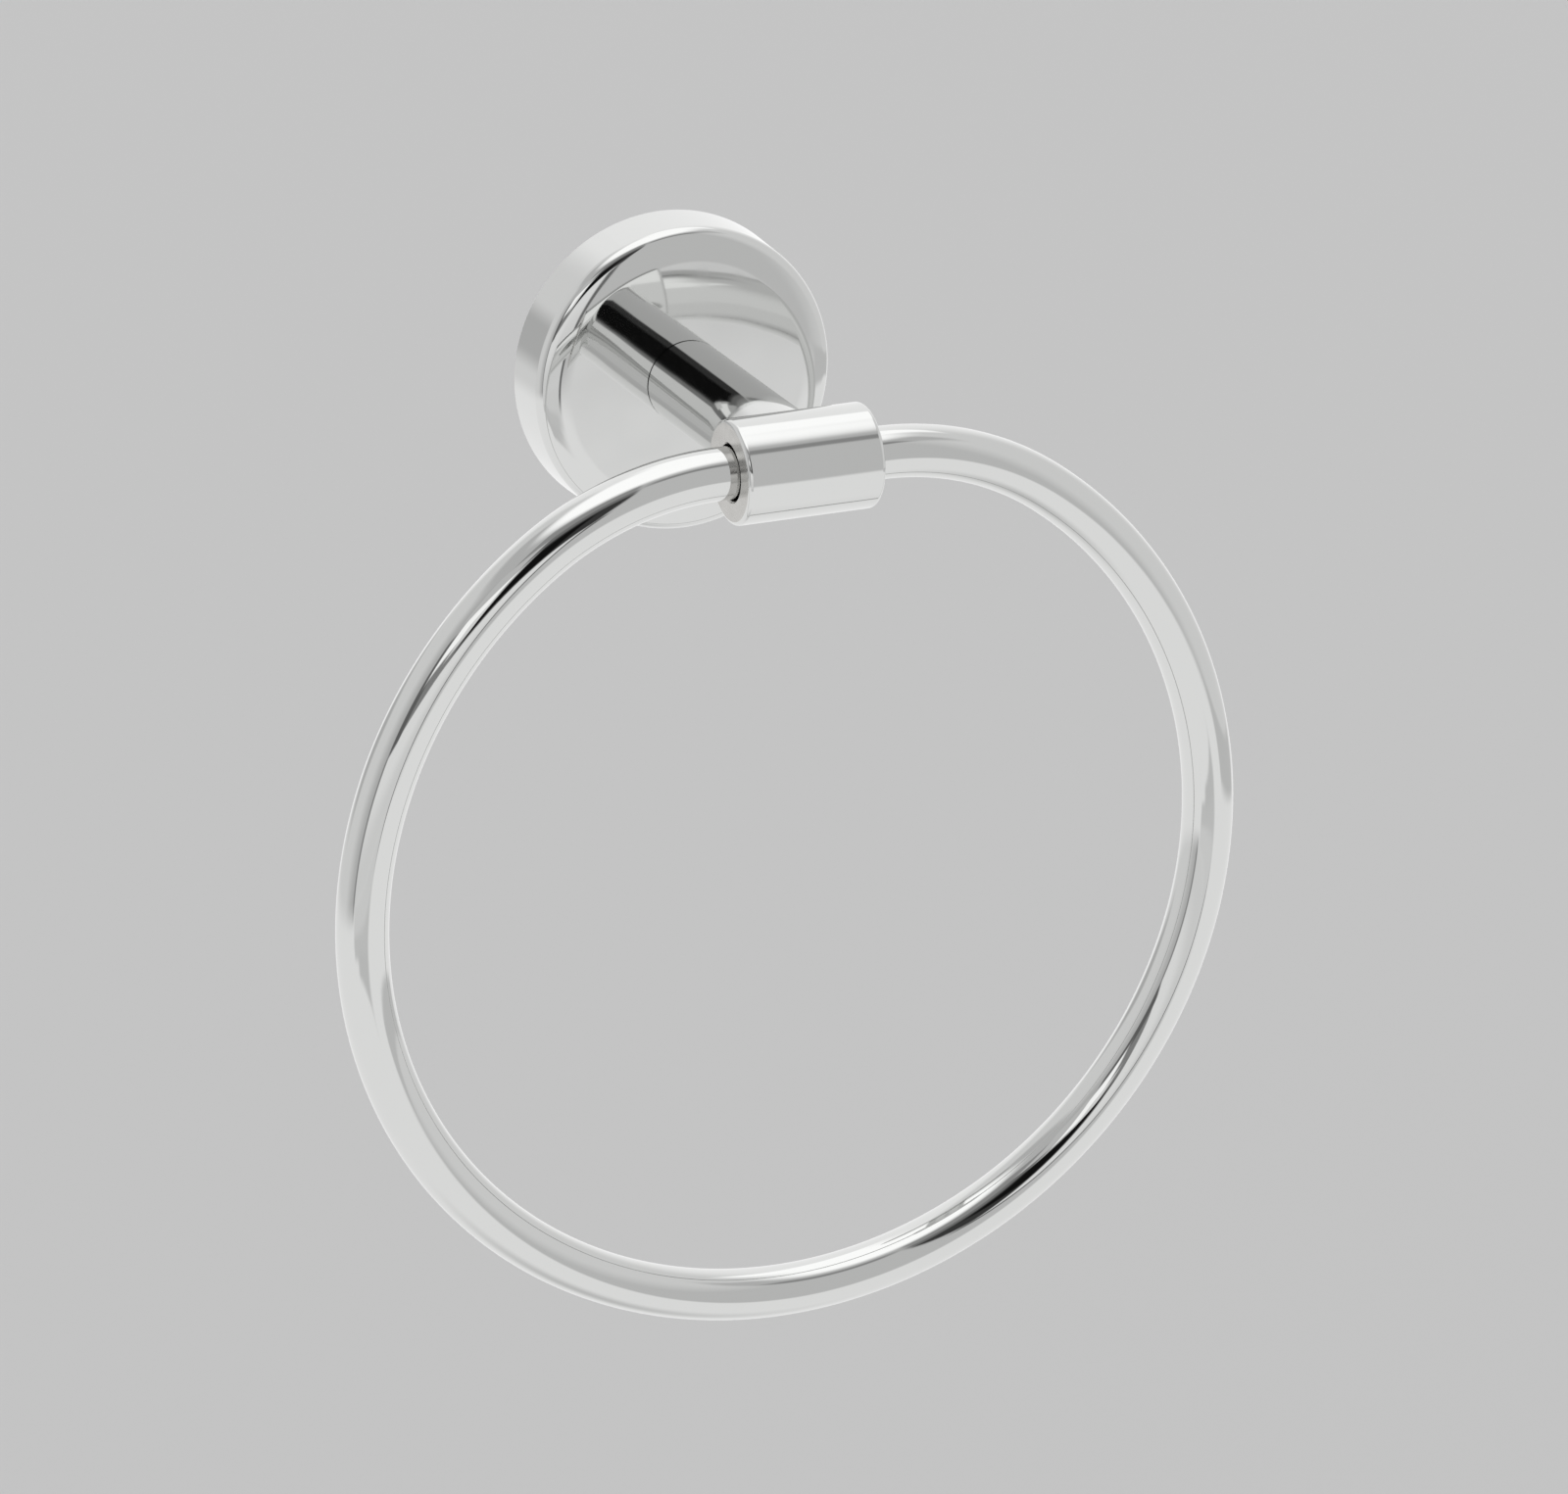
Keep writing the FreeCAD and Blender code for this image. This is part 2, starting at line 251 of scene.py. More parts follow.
def turned(profile, steps, place, closed=True):
    """A solid turned from (radius, along) points.

    A closed profile runs right round a wall. An open one starts and ends on the axis.
    """
    on_axis = 1e-7
    mesh = bmesh.new()
    rows = []
    for radius, along in profile:
        if radius < on_axis:
            rows.append([mesh.verts.new(place(0, along, 0))])
        else:
            angles = [2 * math.pi * i / steps for i in range(steps)]
            rows.append([mesh.verts.new(place(radius, along, angle)) for angle in angles])
    pairs = list(zip(rows, rows[1:]))
    if closed:
        pairs.append((rows[-1], rows[0]))
    for low, high in pairs:
        for i in range(steps):
            j = (i + 1) % steps
            below = [low[i % len(low)], low[j % len(low)]]
            above = [high[j % len(high)], high[i % len(high)]]
            mesh.faces.new(list(dict.fromkeys(below + above)))
    bmesh.ops.recalc_face_normals(mesh, faces=mesh.faces)
    return mesh


def block(low, high):
    """A box between two corners."""
    mesh = bmesh.new()
    bmesh.ops.create_cube(mesh, size=1.0)
    size = [high[i] - low[i] for i in range(3)]
    middle = [(high[i] + low[i]) / 2 for i in range(3)]
    bmesh.ops.transform(mesh, matrix=Matrix.LocRotScale(middle, None, size), verts=mesh.verts)
    return mesh


def new_object(name, mesh):
    """An object in the scene from a bmesh, which is used up."""
    data = bpy.data.meshes.new(name)
    mesh.to_mesh(data)
    mesh.free()
    piece = bpy.data.objects.new(name, data)
    bpy.context.scene.collection.objects.link(piece)
    return piece


def combined(name, base, steps):
    """One mesh from a base and a list of (operation, mesh) steps."""
    body = new_object(name, base)
    tools = []
    for operation, mesh in steps:
        tool = new_object(name + "_tool", mesh)
        modifier = body.modifiers.new(operation.lower(), "BOOLEAN")
        modifier.operation = operation
        modifier.solver = "EXACT"
        modifier.object = tool
        tools.append(tool)
    graph = bpy.context.evaluated_depsgraph_get()
    result = bpy.data.meshes.new_from_object(body.evaluated_get(graph))
    body.modifiers.clear()
    body.data = result
    for tool in tools:
        bpy.data.objects.remove(tool)
    return body


# True surfaces, which give each face corner its exact normal for clean reflections. Each
# one is a function of points: how far they lie from the surface, and its normals there.

def around_axis(points, origin, axis):
    """How far points lie along an axis, which way they lie out from it, and how far out."""
    offset = points - origin
    along = offset @ axis
    across = offset - along[:, None] * axis
    return along, *directions(across)


def directions(offsets):
    """Each offset's direction and length."""
    lengths = np.linalg.norm(offsets, axis=1)
    return offsets / np.maximum(lengths, 1e-9)[:, None], lengths


def cylinder_form(origin, axis, radius):
    origin, axis = np.array(origin), np.array(axis)

    def measure(points):
        _, outward, out = around_axis(points, origin, axis)
        return np.abs(out - radius), outward
    return measure


def plane_form(origin, axis):
    origin, axis = np.array(origin), np.array(axis)

    def measure(points):
        return np.abs((points - origin) @ axis), np.tile(axis, (len(points), 1))
    return measure


def cone_form(origin, axis, radius, lean):
    """A cone with this radius at its origin, which widens along its axis."""
    origin, axis = np.array(origin), np.array(axis)

    def measure(points):
        along, outward, out = around_axis(points, origin, axis)
        distance = np.abs(out - radius - along * math.tan(lean)) * math.cos(lean)
        return distance, outward * math.cos(lean) - axis * math.sin(lean)
    return measure


def torus_form(centre, axis, main_radius, tube_radius):
    centre, axis = np.array(centre), np.array(axis)

    def measure(points):
        along, outward, out = around_axis(points, centre, axis)
        tube = outward * (out - main_radius)[:, None] + along[:, None] * axis
        normals, reach = directions(tube)
        return np.abs(reach - tube_radius), normals
    return measure


def read_values(items, attribute, width=1, kind=float):
    """One attribute of a mesh's items, in rows where it is a vector."""
    values = np.empty(len(items) * width, kind)
    items.foreach_get(attribute, values)
    return values.reshape(-1, width) if width > 1 else values


def set_true_normals(piece, forms, tolerance=4e-5, turn_cost=1e-3, agreement=0.7):
    """Give each face the normals of the form it lies on, or its own where it lies on none.

    A face lies on the form that is nearest to its centre, within the tolerance. Turn_cost
    settles it between forms that meet there, by which way the face looks. A normal further
    from the face's own than agreement, as a cosine, isn't used.
    """
    mesh = piece.data
    facing = read_values(mesh.polygons, "normal", 3)
    centres = read_values(mesh.polygons, "center", 3)
    corner_counts = read_values(mesh.polygons, "loop_total", kind=np.int32)
    vertices = read_values(mesh.loops, "vertex_index", kind=np.int32)
    places = read_values(mesh.vertices, "co", 3)[vertices]
    owner = np.repeat(np.arange(len(mesh.polygons)), corner_counts)
    costs, normals = [], []
    for form in forms:
        distance, normal = form(centres)
        turn = (normal * facing).sum(1)
        costs.append(distance + turn_cost * (1 - np.abs(turn)))
        normals.append(form(places)[1] * np.sign(turn)[owner][:, None])
    best = np.argmin(costs, axis=0)
    cost = np.min(costs, axis=0)
    result = facing[owner].copy()
    for i, normal in enumerate(normals):
        fits = ((best == i) & (cost < tolerance))[owner]
        agrees = (normal * result).sum(1) > agreement
        result[fits & agrees] = normal[fits & agrees]
    set_normals(mesh, result)


def set_normals(mesh, corner_normals):
    mesh.polygons.foreach_set("use_smooth", [True] * len(mesh.polygons))
    mesh.normals_split_custom_set(corner_normals)


def place_piece(piece, body, slot, nodes, *materials):
    """Give a finished piece its finish and its body, and hide the CAD nodes that it stands for."""
    piece.data.materials.clear()
    for material in materials:
        piece.data.materials.append(material)
    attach(piece, body)
    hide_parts(*nodes)


# Materials

# The Mix node's sockets for its two values and its result, which it has for each kind
MIX_SOCKETS = {"FLOAT": (2, 3, 0), "RGBA": (6, 7, 2)}


class Nodes:
    """Short calls for adding and joining the nodes of one tree."""

    def __init__(self, tree):
        self.tree = tree
        tree.nodes.clear()

    def add(self, kind, inputs=None, **settings):
        node = self.tree.nodes.new(kind)
        for name, value in settings.items():
            setattr(node, name, value)
        for name, value in (inputs or {}).items():
            self.feed(node.inputs[name], value)
        return node

    def feed(self, socket, value):
        if isinstance(value, bpy.types.NodeSocket):
            self.tree.links.new(value, socket)
        else:
            socket.default_value = value

    def maths(self, operation, *values):
        node = self.add("ShaderNodeMath", operation=operation)
        for socket, value in zip(node.inputs, values):
            self.feed(socket, value)
        return node.outputs[0]

    def noise(self, scale, detail, roughness, vector):
        node = self.add(
            "ShaderNodeTexNoise",
            {"Vector": vector, "Scale": scale, "Detail": detail, "Roughness": roughness},
        )
        return node.outputs["Fac"]

    def ranged(self, value, band, to_band, smooth=False):
        """The value's place in one band, carried over to another."""
        node = self.add(
            "ShaderNodeMapRange",
            {
                "Value": value,
                "From Min": band[0],
                "From Max": band[1],
                "To Min": to_band[0],
                "To Max": to_band[1],
            },
            interpolation_type="SMOOTHSTEP" if smooth else "LINEAR",
        )
        return node.outputs["Result"]

    def mixed(self, below, above, share, kind="FLOAT"):
        """Two numbers, or two colours, with this share of the second."""
        below_socket, above_socket, result_socket = MIX_SOCKETS[kind]
        node = self.add("ShaderNodeMix", {"Factor": share}, data_type=kind)
        self.feed(node.inputs[below_socket], below)
        self.feed(node.inputs[above_socket], above)
        return node.outputs[result_socket]

    def place(self):
        return self.add("ShaderNodeTexCoord").outputs["Object"]

    def stretched(self, scale):
        """The place on the object, which noise draws out where its scale is under 1."""
        node = self.add("ShaderNodeMapping", {"Vector": self.place(), "Scale": scale})
        return node.outputs["Vector"]

    def bumped(self, height, strength, distance):
        node = self.add(
            "ShaderNodeBump", {"Height": height, "Strength": strength, "Distance": distance}
        )
        return node.outputs["Normal"]

    def surface(self, inputs):
        """A Principled shader with these inputs, as the material's surface."""
        shader = self.add("ShaderNodeBsdfPrincipled", inputs)
        out = self.add("ShaderNodeOutputMaterial")
        self.feed(out.inputs["Surface"], shader.outputs["BSDF"])


def new_material(name):
    material = bpy.data.materials.get(name) or bpy.data.materials.new(name)
    material.use_nodes = True
    return material, Nodes(material.node_tree)


def polished_chrome(finish):
    """Mirror plating with faint wiping marks and a slow waviness under it."""
    material, nodes = new_material("polished_chrome")
    marks = nodes.noise(
        scale=220.0, detail=4.0, roughness=0.6, vector=nodes.stretched((1.0, 1.0, 0.25))
    )
    clean, marked = finish.chrome_roughness, finish.chrome_roughness + finish.smudge
    waves = nodes.noise(scale=70.0, detail=1.0, roughness=0.4, vector=nodes.place())
    nodes.surface({
        "Base Color": (*finish.chrome, 1.0),
        "Metallic": 1.0,
        "Roughness": nodes.ranged(marks, (0.45, 0.75), (clean, marked), smooth=True),
        "Normal": nodes.bumped(waves, strength=finish.ripple, distance=0.001),
    })
    return material


def turned_metal(finish):
    """Dull plating on the sleeve's ends and in its bore, with the fine rings of the lathe."""
    material, nodes = new_material("turned_end")
    place = nodes.place()
    part = nodes.add("ShaderNodeSeparateXYZ", {"Vector": place})
    depth = nodes.maths("SUBTRACT", part.outputs["Y"], ARM_AXIS_Y)
    height = part.outputs["Z"]
    squares = nodes.maths("MULTIPLY_ADD", depth, depth, nodes.maths("MULTIPLY", height, height))
    radius = nodes.maths("SQRT", squares)
    rings = nodes.maths("SINE", nodes.maths("MULTIPLY", radius, 2 * math.pi / LATHE_PITCH))
    clouds = nodes.noise(scale=500.0, detail=4.0, roughness=0.6, vector=place)
    smoother, rougher = finish.end_roughness - 0.05, finish.end_roughness + 0.08
    nodes.surface({
        "Base Color": (*finish.end_colour, 1.0),
        "Metallic": 1.0,
        "Roughness": nodes.ranged(clouds, (0.3, 0.7), (smoother, rougher)),
        "Normal": nodes.bumped(rings, strength=0.2, distance=0.000004),
    })
    return material


def plated_steel(name, base, roughness, grain_scale, grain_strength):
    """Dull plated steel with a fine grain and cloudy patches."""
    material, nodes = new_material(name)
    darker, lighter = 0.86, 1.08
    clouds = nodes.noise(scale=160.0, detail=5.0, roughness=0.6, vector=nodes.place())
    grain = nodes.noise(
        scale=grain_scale, detail=3.0, roughness=0.5, vector=nodes.stretched((1.0, 1.0, 0.08))
    )
    tint = nodes.mixed(
        (*[value * darker for value in base], 1.0),
        (*[min(value * lighter, 1.0) for value in base], 1.0),
        share=nodes.ranged(clouds, (0.35, 0.7), (0.0, 1.0)),
        kind="RGBA",
    )
    nodes.surface({
        "Base Color": tint,
        "Metallic": 1.0,
        "Roughness": nodes.ranged(clouds, (0.3, 0.75), roughness),
        "Normal": nodes.bumped(grain, strength=grain_strength, distance=0.0002),
    })
    return material


# Pieces

def flange_places(sizes):
    """Depth and radius of the edge's hub, and radius of the flat of the face."""
    hub_depth = (
        sizes.depth
        - sizes.shoulder_radius * (1 - math.cos(sizes.shoulder_turn))
        - sizes.edge_round * math.cos(sizes.shoulder_turn)
    )
    rim_end_depth = hub_depth + sizes.edge_round * math.sin(sizes.rim_draft)
    rim_end_radius = FLANGE_RADIUS - math.tan(sizes.rim_draft) * rim_end_depth
    hub_radius = rim_end_radius - sizes.edge_round * math.cos(sizes.rim_draft)
    step = (sizes.shoulder_radius - sizes.edge_round) * math.sin(sizes.shoulder_turn)
    return hub_depth, hub_radius, hub_radius - step


def flange_profile(sizes):
    """The flange's wall, cut by a half plane: seat, face, shoulder, edge, rim, back, floor."""
    hub_depth, hub_radius, flat_radius = flange_places(sizes)
    seat = -(sizes.depth - sizes.seat_recess)
    floor = -(sizes.depth - sizes.face_wall)
    inner = FLANGE_RADIUS - sizes.rim_wall
    back = sizes.back_round
    front = -math.pi / 2
    bend = front + sizes.shoulder_turn
    shoulder_hub = (flat_radius, sizes.shoulder_radius - sizes.depth)
    shoulder = arc(shoulder_hub, sizes.shoulder_radius, front, bend, SHOULDER_STEPS)
    edge_hub = (hub_radius, -hub_depth)
    edge = arc(edge_hub, sizes.edge_round, bend, -sizes.rim_draft, EDGE_STEPS)
    rim_back = FLANGE_RADIUS - math.tan(sizes.rim_draft) * back
    return (
        [(sizes.key_radius, seat), (sizes.seat_radius, seat)]
        + line((sizes.seat_radius, -sizes.depth), (flat_radius, -sizes.depth), FACE_STEPS)
        + shoulder
        + edge[1:]
        + [(rim_back, -back), (FLANGE_RADIUS - back, 0), (inner + back, 0), (inner, -back)]
        + [(inner, floor), (sizes.key_radius, floor)]
    )


def make_flange_piece(sizes, material):
    """A turned cup with two pads inside it, drilled for the set screw from below."""
    inner = FLANGE_RADIUS - sizes.rim_wall
    floor = -(sizes.depth - sizes.face_wall)
    boss_top = -inner + sizes.boss_height
    pad = block(
        (-sizes.pad_width / 2, floor - PAD_EMBED, inner - sizes.pad_height),
        (sizes.pad_width / 2, -sizes.pad_setback, inner + PAD_EMBED),
    )
    boss = block(
        (-sizes.boss_width / 2, floor - PAD_EMBED, -inner - PAD_EMBED),
        (sizes.boss_width / 2, -sizes.pad_setback, boss_top),
    )
    hole_y = (SCREW_LOW.y + SCREW_HIGH.y) / 2
    hole_radius = SCREW_HIGH.x + SET_SCREW_PLAY
    hole_foot, hole_top = -FLANGE_RADIUS - OVERSHOOT, boss_top + OVERSHOOT
    hole = turned(
        [(0, hole_foot), (hole_radius, hole_foot), (hole_radius, hole_top), (0, hole_top)],
        SCREW_HOLE_STEPS, about_z(hole_y), closed=False,
    )
    base = turned(flange_profile(sizes), FLANGE_STEPS, about_y)
    piece = combined("flange_shell", base, [("UNION", pad), ("UNION", boss), ("DIFFERENCE", hole)])
    hub_depth, hub_radius, flat_radius = flange_places(sizes)
    shoulder_centre = (0, sizes.shoulder_radius - sizes.depth, 0)
    seat = -(sizes.depth - sizes.seat_recess)
    set_true_normals(piece, [
        plane_form((0, -sizes.depth, 0), Y_AXIS),
        torus_form(shoulder_centre, Y_AXIS, flat_radius, sizes.shoulder_radius),
        torus_form((0, -hub_depth, 0), Y_AXIS, hub_radius, sizes.edge_round),
        cone_form(ORIGIN, Y_AXIS, FLANGE_RADIUS, sizes.rim_draft),
        cylinder_form(ORIGIN, Y_AXIS, inner),
        cylinder_form(ORIGIN, Y_AXIS, sizes.seat_radius),
        cylinder_form(ORIGIN, Y_AXIS, sizes.key_radius),
        cylinder_form((0, hole_y, 0), Z_AXIS, hole_radius),
        plane_form((0, seat, 0), Y_AXIS),
        plane_form((0, floor, 0), Y_AXIS),
        plane_form(ORIGIN, Y_AXIS),
    ])
    place_piece(piece, FIXED_BODY, "flange", ["flange"], material)


def mark_turned_faces(piece, sizes, end_slack=0.00002, bore_slack=0.00003):
    """Put the sleeve's flat ends and its bore in the second material."""
    limit = sizes.bore_radius + sizes.bore_chamfer + bore_slack
    for polygon in piece.data.polygons:
        x, y, z = polygon.center
        radius = math.hypot(y - ARM_AXIS_Y, z)
        flat_end = abs(abs(x) - SLEEVE_END) < end_slack and radius < SLEEVE_RADIUS
        in_bore = radius < limit and abs(x) <= SLEEVE_END
        polygon.material_index = 1 if flat_end or in_bore else 0


def make_arm_piece(sizes, material, end_material):
    """The post and the cross sleeve in one, bored for the rod and tapped for the screw."""
    corner = sizes.sleeve_round
    hub_radius, hub_x = SLEEVE_RADIUS - corner, SLEEVE_END - corner
    quarter = math.pi / 2
    outline = [(0, -SLEEVE_END)]
    outline += arc((hub_radius, -hub_x), corner, -quarter, 0, SLEEVE_ROUND_STEPS)
    outline += arc((hub_radius, hub_x), corner, 0, quarter, SLEEVE_ROUND_STEPS)
    outline += [(0, SLEEVE_END)]
    sleeve = turned(outline, SLEEVE_STEPS, about_sleeve, closed=False)
    hole_end = ARM_SCREW_TIP_Y - TAPPED_SPARE
    post = turned(
        [(0, ARM_AXIS_Y), (sizes.post_radius, ARM_AXIS_Y),
         (sizes.post_radius, -sizes.seat_depth - sizes.root_chamfer),
         (sizes.post_radius - sizes.root_chamfer, -sizes.seat_depth),
         (sizes.spigot_radius, -sizes.seat_depth), (sizes.spigot_radius, ARM_HIGH.y),
         (sizes.tapped_radius, ARM_HIGH.y), (sizes.tapped_radius, hole_end),
         (0, hole_end - DRILL_POINT)],
        POST_STEPS, about_y, closed=False,
    )
    flare = sizes.bore_radius + sizes.bore_chamfer + OVERSHOOT
    mouth = SLEEVE_END + OVERSHOOT
    throat = SLEEVE_END - sizes.bore_chamfer
    bore = turned(
        [(0, -mouth), (flare, -mouth), (sizes.bore_radius, -throat), (sizes.bore_radius, throat),
         (flare, mouth), (0, mouth)],
        BORE_STEPS, about_sleeve, closed=False,
    )
    piece = combined("arm_body", sleeve, [("UNION", post), ("DIFFERENCE", bore)])
    set_true_normals(piece, [
        cylinder_form(SLEEVE_CENTRE, X_AXIS, SLEEVE_RADIUS),
        cylinder_form(SLEEVE_CENTRE, X_AXIS, sizes.bore_radius),
        cylinder_form(ORIGIN, Y_AXIS, sizes.post_radius),
        cylinder_form(ORIGIN, Y_AXIS, sizes.spigot_radius),
        cylinder_form(ORIGIN, Y_AXIS, sizes.tapped_radius),
        torus_form((hub_x, ARM_AXIS_Y, 0), X_AXIS, hub_radius, corner),
        torus_form((-hub_x, ARM_AXIS_Y, 0), X_AXIS, hub_radius, corner),
        plane_form((SLEEVE_END, 0, 0), X_AXIS),
        plane_form((-SLEEVE_END, 0, 0), X_AXIS),
        plane_form((0, -sizes.seat_depth, 0), Y_AXIS),
        cone_form((throat, ARM_AXIS_Y, 0), X_AXIS, sizes.bore_radius, BORE_CHAMFER_LEAN),
        cone_form((-throat, ARM_AXIS_Y, 0), -X_AXIS, sizes.bore_radius, BORE_CHAMFER_LEAN),
    ])
    place_piece(piece, FIXED_BODY, "arm", ["arm"], material, end_material)
    mark_turned_faces(piece, sizes)


def ring_path(sizes):
    """Places along the rod's centreline as (x, z, angle of the outward direction)."""
    ease = sizes.shoulder_ease
    start = sizes.shoulder_start
    shoulder = RING_RADIUS - ease
    turn = math.asin(start / ease)
    first = sizes.end_gap / 2 + sizes.end_chamfer
    side = []
    for i in range(STRAIGHT_STEPS):
        side.append((first + (start - first) * i / STRAIGHT_STEPS, 0.0, 0.0))
    for i in range(BEND_STEPS):
        angle = turn * i / BEND_STEPS
        side.append((start + shoulder * math.sin(angle), shoulder * (math.cos(angle) - 1), angle))
    main_arc = []
    for i in range(sizes.arc_steps + 1):
        angle = turn + (2 * math.pi - 2 * turn) * i / sizes.arc_steps
        main_arc.append(
            (RING_RADIUS * math.sin(angle), RING_CENTRE_Z + RING_RADIUS * math.cos(angle), angle)
        )
    other_side = [(-x, z, -angle) for x, z, angle in reversed(side)]
    return side + main_arc + other_side


def make_ring_piece(sizes, material):
    """Sweep the rod's section along the path, with a chamfer and a flat at each end."""
    tip = sizes.end_gap / 2
    tip_radius = ROD_RADIUS - sizes.end_chamfer
    stations = [(tip, 0.0, 0.0, tip_radius)]
    stations += [(x, z, angle, ROD_RADIUS) for x, z, angle in ring_path(sizes)]
    stations += [(-tip, 0.0, 0.0, tip_radius)]
    steps = sizes.section_steps
    mesh = bmesh.new()
    rows, outwards = [], []
    for x, z, angle, radius in stations:
        centre = Vector((x, ARM_AXIS_Y, z))
        away = Vector((math.sin(angle), 0, math.cos(angle)))
        turns = [2 * math.pi * i / steps for i in range(steps)]
        around = [away * math.cos(turn) + Y_AXIS * math.sin(turn) for turn in turns]
        rows.append([mesh.verts.new(centre + outward * radius) for outward in around])
        outwards += around
    is_end = []
    for k, (low, high) in enumerate(zip(rows, rows[1:])):
        for i in range(steps):
            j = (i + 1) % steps
            mesh.faces.new([low[i], low[j], high[j], high[i]])
            is_end.append(k in (0, len(rows) - 2))
    for row in (rows[0], rows[-1]):
        mesh.faces.new(row)
        is_end.append(True)
    bmesh.ops.recalc_face_normals(mesh, faces=mesh.faces)
    piece = new_object("ring_rod", mesh)
    normals = []
    for polygon, flat in zip(piece.data.polygons, is_end):
        for index in polygon.vertices:
            normals.append(polygon.normal if flat else outwards[index])
    set_normals(piece.data, normals)
    place_piece(piece, SWINGING_BODY, "ring", ["ring"], material)


# Operators

def settings_of(context):
    return context.scene.towel_ring


class BuildFlange(bpy.types.Operator):
    """Build the flange with its pads and set-screw hole"""
    bl_idname = "towel_ring.build_flange"
    bl_label = "Build flange"

    def execute(self, context):
        settings = settings_of(context)
        make_flange_piece(settings.flange, polished_chrome(settings.finish))
        return {"FINISHED"}


class BuildArm(bpy.types.Operator):
    """Build the post and its cross sleeve"""
    bl_idname = "towel_ring.build_arm"
    bl_label = "Build arm"

    def execute(self, context):
        settings = settings_of(context)
        finish = settings.finish
        make_arm_piece(settings.arm, polished_chrome(finish), turned_metal(finish))
        return {"FINISHED"}


class BuildRing(bpy.types.Operator):
    """Build the swinging ring of round rod"""
    bl_idname = "towel_ring.build_ring"
    bl_label = "Build ring"

    def execute(self, context):
        settings = settings_of(context)
        make_ring_piece(settings.ring, polished_chrome(settings.finish))
        return {"FINISHED"}


class FinishFixings(bpy.types.Operator):
    """Give the wall bracket, the screws and the washer their plated finishes"""
    bl_idname = "towel_ring.finish_fixings"
    bl_label = "Finish fixings"

    def execute(self, context):
        finish = settings_of(context).finish
        zinc = plated_steel(
            "zinc_sheet", finish.zinc, roughness=(0.32, 0.5), grain_scale=900.0, grain_strength=0.25
        )
        steel = plated_steel(
            "screw_steel", finish.steel, roughness=(0.28, 0.42), grain_scale=1400.0,
            grain_strength=0.15,
        )
        coats = {"wall_bracket": zinc, "arm_screw": steel, "lock_washer": steel, "set_screw": steel}
        for node, coat in coats.items():
            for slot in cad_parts[node].material_slots:
                slot.material = coat
        return {"FINISHED"}


# Stage

# Brightness of the tent's bare wall, and the share of it that the chrome gives back
TENT_WALL = 0.56
CHROME_SHARE = 0.69
# Every bearing, or every height
ALL = (-400, 400)

# What the chrome sees round the object, in the order it is laid on: its bearing from the
# front (-Y) towards the left and its height, both in degrees from one side to the other, the
# softness of its sides and of its top and bottom, and its brightness as the chrome shows it.
TENT_PIECES = [
    ("near wall", (-38, 84), ALL, (44, 1), 0.38),
    ("right wall", (-36, -3), ALL, (10, 1), 0.445),
    ("far wall", (-400, -128), ALL, (40, 1), 0.74),
    ("far wall past the middle", (166, 400), ALL, (16, 1), 0.73),
    ("low cloth on the far left", (140, 168), (-8, 9), (14, 8), 0.37),
    ("seam under the ceiling", (-72, 138), (46, 61), (14, 8), 0.40),
    ("dark seam on the right", (-44, -8), (46.5, 54), (10, 4), 0.22),
    ("front panel", (-5, 58), (-30, 10.8), (3, 2), 0.65),
    ("shade at the panel's foot", (-5, 58), (-40, -5), (3, 14), 0.56),
    ("dim upper front", (-4, 53), (45, 61), (4, 4), 0.235),
    ("lit upper front", (31, 62), (36, 47), (3, 2), 0.44),
    ("door head", (-5, 31), (36, 47), (3, 5), 0.14),
    ("dark sill", (20, 60), (11, 21), (2, 2), 0.19),
    ("window", (28, 53), (22, 34.5), (3, 2.5), 0.87),
    ("window foot", (23, 35), (17.5, 26), (2, 2), 0.60),
    ("dark post", (54, 63), (10, 32.5), (3, 2), 0.11),
    ("dark post's foot", (48, 60), (9.5, 20), (3, 2), 0.10),
    ("thin seam", (60, 64.5), (-18, 10), (2, 2), 0.20),
    ("doorway", (-5, 24), (12, 39), (2.5, 5), 0.035),
    ("dark of the doorway", (4, 23), (14, 35), (4, 4), 0.005),
    ("ceiling", ALL, (63, 400), (1, 14), 0.96),
    ("far ceiling", (-172, -112), (49, 400), (20, 4), 0.955),
    ("floor", ALL, (-400, -17.3), (1, 6), 0.675),
    ("foot of the right wall", (-112, -39), (-20.5, -15), (6, 1.5), 0.45),
    ("panel in front of the floor", (-7, 55), (-22.5, -16), (5, 2), 0.55),
    ("dark edge under the panel", (-4, 52), (-24, -20.5), (5, 1.5), 0.48),
    ("dark edge at the panel's middle", (-4, 36), (-26, -23), (12, 1.5), 0.46),
    ("dark edge at the panel's right", (-7.2, -4.9), (-19, 14), (1.2, 3), 0.12),
    ("under the object", ALL, (-400, -76), (1, 30), 0.46),
]


def tent_brightness(nodes, direction):
    """Brightness of the photo tent in a direction, as the chrome shows it."""
    to_degrees = 180 / math.pi
    part = nodes.add("ShaderNodeSeparateXYZ", {"Vector": direction})
    x, y, z = part.outputs
    height = nodes.maths("MULTIPLY", nodes.maths("ARCSINE", z), to_degrees)
    minus_x = nodes.maths("MULTIPLY", x, -1.0)
    minus_y = nodes.maths("MULTIPLY", y, -1.0)
    bearing = nodes.maths("MULTIPLY", nodes.maths("ARCTAN2", minus_x, minus_y), to_degrees)
    value = TENT_WALL
    for _, bearings, heights, (side_softness, end_softness), brightness in TENT_PIECES:
        mask = 1.0
        if bearings != ALL:
            mask = soft_band(nodes, bearing, bearings, side_softness)
        if heights != ALL:
            band = soft_band(nodes, height, heights, end_softness)
            mask = nodes.maths("MULTIPLY", mask, band)
        value = nodes.mixed(value, brightness, share=mask)
    return value


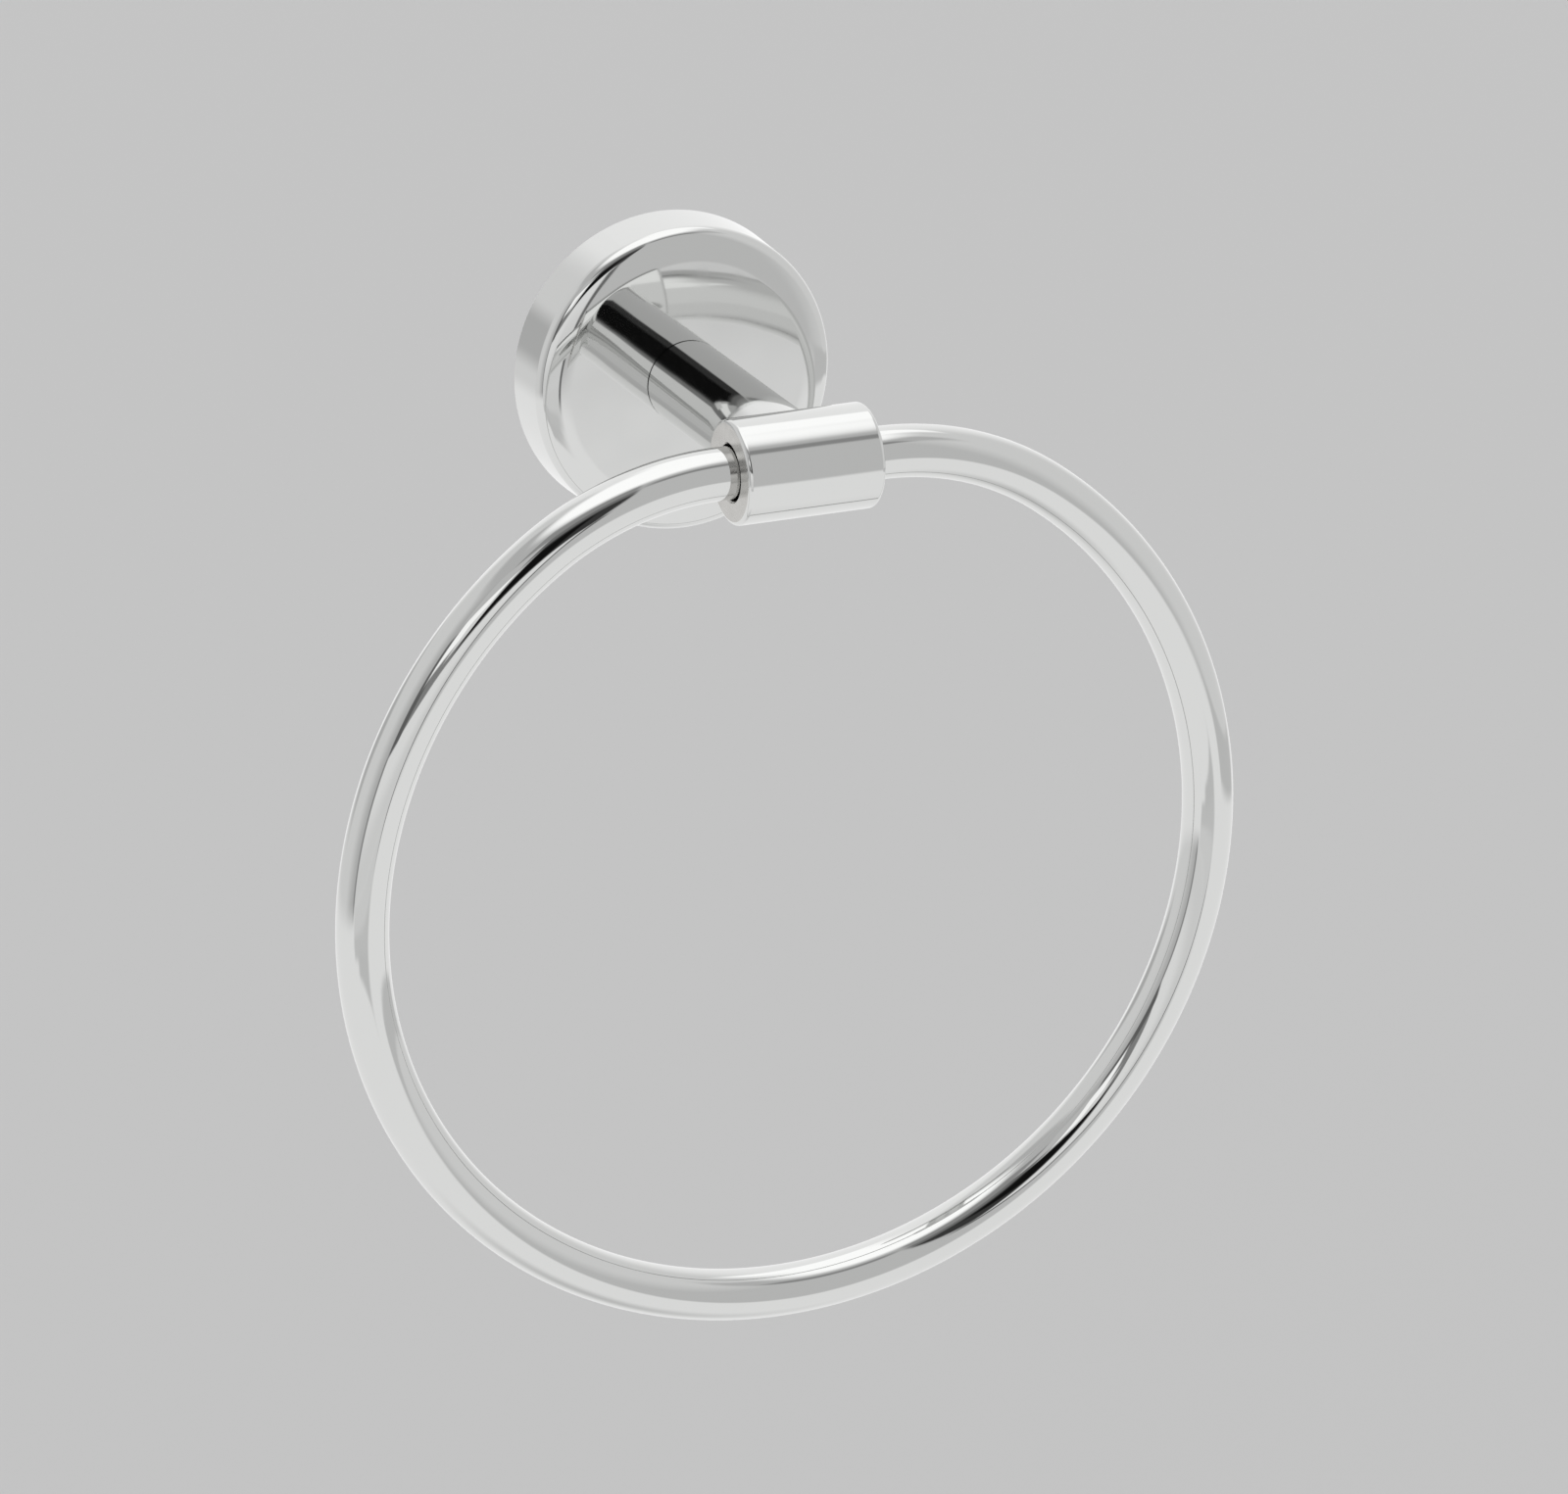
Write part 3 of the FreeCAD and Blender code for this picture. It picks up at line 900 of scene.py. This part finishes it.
def soft_band(nodes, value, band, softness):
    """1 where the value is inside the band and 0 outside it, with soft ends."""
    low, high = band
    half = softness / 2
    rise = nodes.ranged(value, (low - half, low + half), (0, 1), smooth=True)
    fall = nodes.ranged(value, (high - half, high + half), (1, 0), smooth=True)
    return nodes.maths("MULTIPLY", rise, fall)


def make_world(studio):
    """The tent for the chrome, and a plain backdrop for the camera alone."""
    world = bpy.data.worlds.new("photo_tent")
    bpy.context.scene.world = world
    world.use_nodes = True
    nodes = Nodes(world.node_tree)
    direction = nodes.add("ShaderNodeTexCoord").outputs["Generated"]
    tent = nodes.maths("MULTIPLY", tent_brightness(nodes, direction), 1 / CHROME_SHARE)
    path = nodes.add("ShaderNodeLightPath")
    seen = nodes.mixed(tent, studio.backdrop, share=path.outputs["Is Camera Ray"])
    background = nodes.add("ShaderNodeBackground", {"Color": (1, 1, 1, 1), "Strength": seen})
    out = nodes.add("ShaderNodeOutputWorld")
    nodes.feed(out.inputs["Surface"], background.outputs["Background"])


def make_floor(studio):
    """A plain pale floor that the chrome doesn't mirror."""
    mesh = bmesh.new()
    bmesh.ops.create_grid(mesh, x_segments=1, y_segments=1, size=studio.floor_size / 2)
    floor = new_object("floor", mesh)
    floor.location.z = studio.floor_level
    material, nodes = new_material("pale_floor")
    grain = nodes.noise(scale=600.0, detail=3.0, roughness=0.5, vector=nodes.place())
    nodes.surface({
        "Base Color": (*studio.floor_colour, 1.0),
        "Roughness": nodes.ranged(grain, (0.3, 0.7), (0.75, 0.9)),
        "Specular IOR Level": 0.1,
    })
    floor.data.materials.append(material)
    floor.visible_glossy = False


def make_camera(studio):
    data = bpy.data.cameras.new("camera")
    data.sensor_width = 36.0
    data.lens = studio.lens
    data.clip_start = 0.01
    data.clip_end = 50.0
    camera = bpy.data.objects.new("camera", data)
    bpy.context.scene.collection.objects.link(camera)
    place, target = Vector(studio.camera_place), Vector(studio.camera_target)
    turn = (target - place).to_track_quat("-Z", "Y").to_matrix()
    camera.matrix_world = Matrix.Translation(place) @ (
        turn @ Matrix.Rotation(-studio.camera_roll, 3, "Z")
    ).to_4x4()
    bpy.context.scene.camera = camera


class SetStage(bpy.types.Operator):
    """Set up the photo tent, the floor and the camera"""
    bl_idname = "towel_ring.set_stage"
    bl_label = "Set stage"

    def execute(self, context):
        studio = settings_of(context).studio
        context.scene.view_settings.view_transform = "Standard"
        make_world(studio)
        make_floor(studio)
        make_camera(studio)
        return {"FINISHED"}


class TowelRingPanel(bpy.types.Panel):
    bl_idname = "VIEW3D_PT_towel_ring"
    bl_label = "Towel ring"
    bl_space_type = "VIEW_3D"
    bl_region_type = "UI"
    bl_category = "Towel ring"

    def draw(self, context):
        settings = settings_of(context)
        groups = (
            (settings.flange, BuildFlange), (settings.arm, BuildArm), (settings.ring, BuildRing),
            (settings.finish, FinishFixings), (settings.studio, SetStage),
        )
        for group, operator in groups:
            box = self.layout.box()
            for name in group.bl_rna.properties.keys():
                if name not in ("rna_type", "name"):
                    box.prop(group, name)
            box.operator(operator.bl_idname)


GROUPS = (FlangeSizes, ArmSizes, RingSizes, Finish, Studio, TowelRing)
OPERATORS = (BuildFlange, BuildArm, BuildRing, FinishFixings, SetStage)


def register():
    for item in GROUPS + OPERATORS + (TowelRingPanel,):
        bpy.utils.register_class(item)
    bpy.types.Scene.towel_ring = PointerProperty(type=TowelRing)


def unregister():
    del bpy.types.Scene.towel_ring
    for item in reversed(GROUPS + OPERATORS + (TowelRingPanel,)):
        bpy.utils.unregister_class(item)


def main():
    register()
    bpy.ops.towel_ring.build_flange()
    bpy.ops.towel_ring.build_arm()
    bpy.ops.towel_ring.build_ring()
    bpy.ops.towel_ring.finish_fixings()
    bpy.ops.towel_ring.set_stage()


if __name__ == "__main__":
    main()
